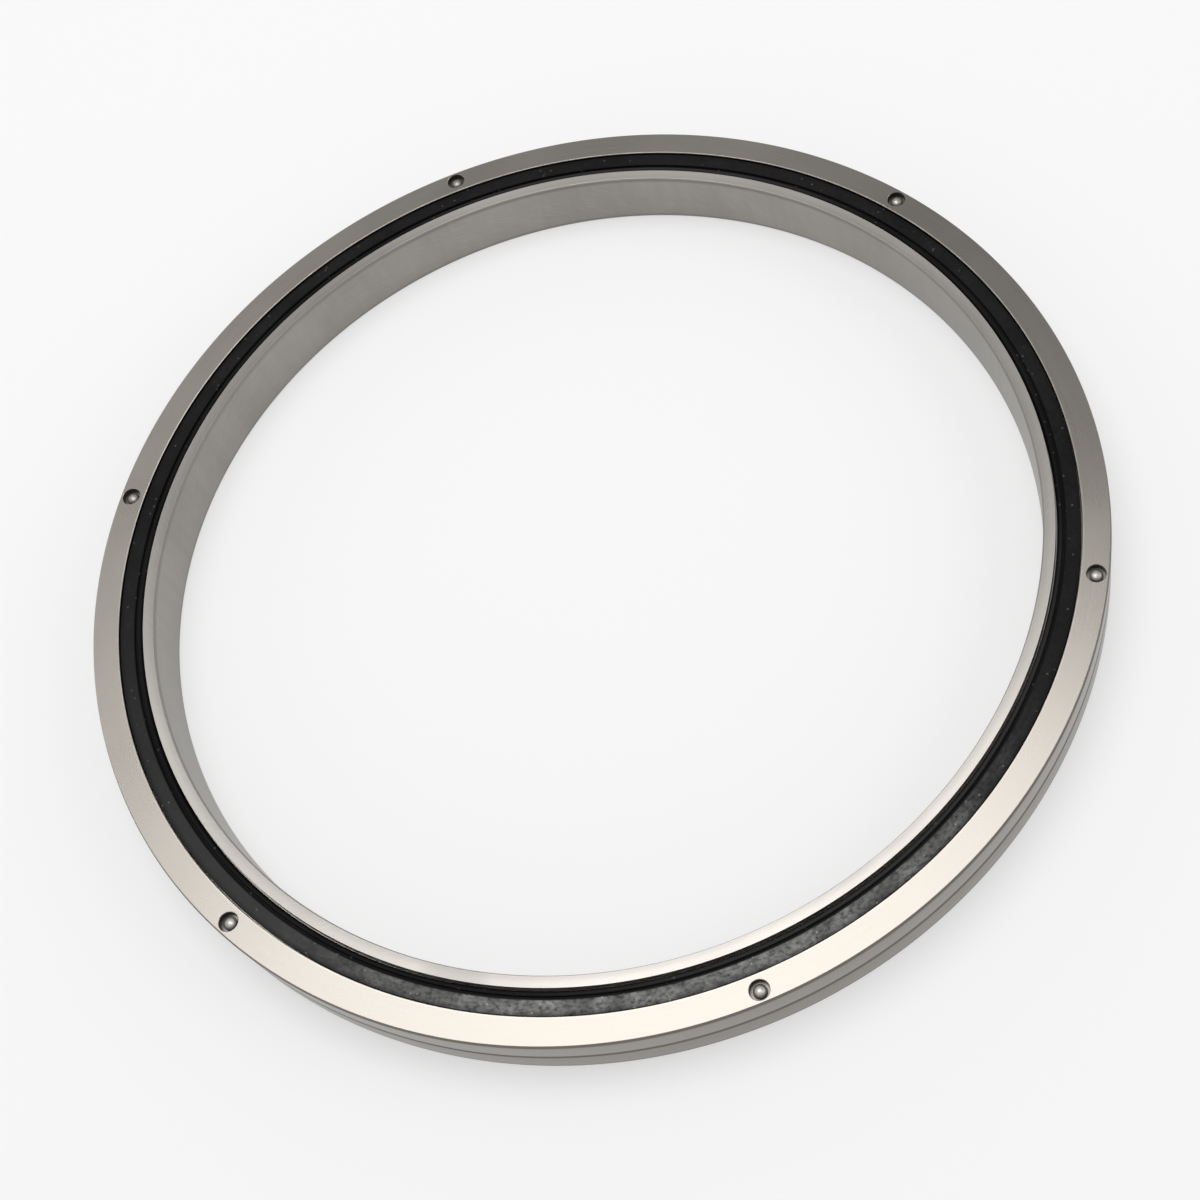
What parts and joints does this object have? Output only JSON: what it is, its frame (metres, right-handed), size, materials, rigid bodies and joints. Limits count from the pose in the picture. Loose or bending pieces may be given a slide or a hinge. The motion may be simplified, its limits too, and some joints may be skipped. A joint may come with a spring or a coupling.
{
  "type": "crossed roller bearing",
  "caption": "Thin crossed roller bearing: riveted split outer ring, slim inner ring, caged crossed rollers and a rubber seal in each face.",
  "frame": {"origin": "centre of the bearing in the plane of its lower face", "axes": "+Z along the bearing's axis, out of the upper face; +X through one rivet"},
  "size_m": [0.206, 0.206, 0.013],
  "materials": {
    "ring_steel": "ground, satin",
    "rivet_steel": "plain",
    "roller_steel": "superfinished",
    "seal_rubber": "matt, moulded",
    "cage_nylon": "moulded"
  },
  "bodies": {
    "outer_race": {"outer_ring_upper": "ring_steel", "outer_ring_lower": "ring_steel", "upper_seal": "seal_rubber", "lower_seal": "seal_rubber", "rivet_1": "rivet_steel", "rivet_2": "rivet_steel", "rivet_3": "rivet_steel", "rivet_4": "rivet_steel", "rivet_5": "rivet_steel", "rivet_6": "rivet_steel"},
    "inner_race": {"inner_ring": "ring_steel"},
    "roller_set": {"cage": "cage_nylon", "roller_01": "roller_steel", "roller_02": "roller_steel", "roller_03": "roller_steel", "roller_04": "roller_steel", "roller_05": "roller_steel", "roller_06": "roller_steel", "roller_07": "roller_steel", "roller_08": "roller_steel", "roller_09": "roller_steel", "roller_10": "roller_steel", "roller_11": "roller_steel", "roller_12": "roller_steel", "roller_13": "roller_steel", "roller_14": "roller_steel", "roller_15": "roller_steel", "roller_16": "roller_steel", "roller_17": "roller_steel", "roller_18": "roller_steel", "roller_19": "roller_steel", "roller_20": "roller_steel", "roller_21": "roller_steel", "roller_22": "roller_steel", "roller_23": "roller_steel", "roller_24": "roller_steel", "roller_25": "roller_steel", "roller_26": "roller_steel", "roller_27": "roller_steel", "roller_28": "roller_steel", "roller_29": "roller_steel", "roller_30": "roller_steel", "roller_31": "roller_steel", "roller_32": "roller_steel", "roller_33": "roller_steel", "roller_34": "roller_steel", "roller_35": "roller_steel", "roller_36": "roller_steel", "roller_37": "roller_steel", "roller_38": "roller_steel", "roller_39": "roller_steel", "roller_40": "roller_steel", "roller_41": "roller_steel", "roller_42": "roller_steel", "roller_43": "roller_steel", "roller_44": "roller_steel"}
  },
  "joints": [
    {"name": "inner_race_spin", "type": "hinge", "parent": "outer_race", "child": "inner_race", "pos_m": [0, 0, 0.0065], "axis": [0, 0, 1], "continuous": true},
    {"name": "roller_set_spin", "type": "hinge", "parent": "outer_race", "child": "roller_set", "pos_m": [0, 0, 0.0065], "axis": [0, 0, 1], "continuous": true}
  ],
  "couplings": [
    {"joint": "roller_set_spin", "follows": "inner_race_spin", "ratio": 0.4907}
  ]
}
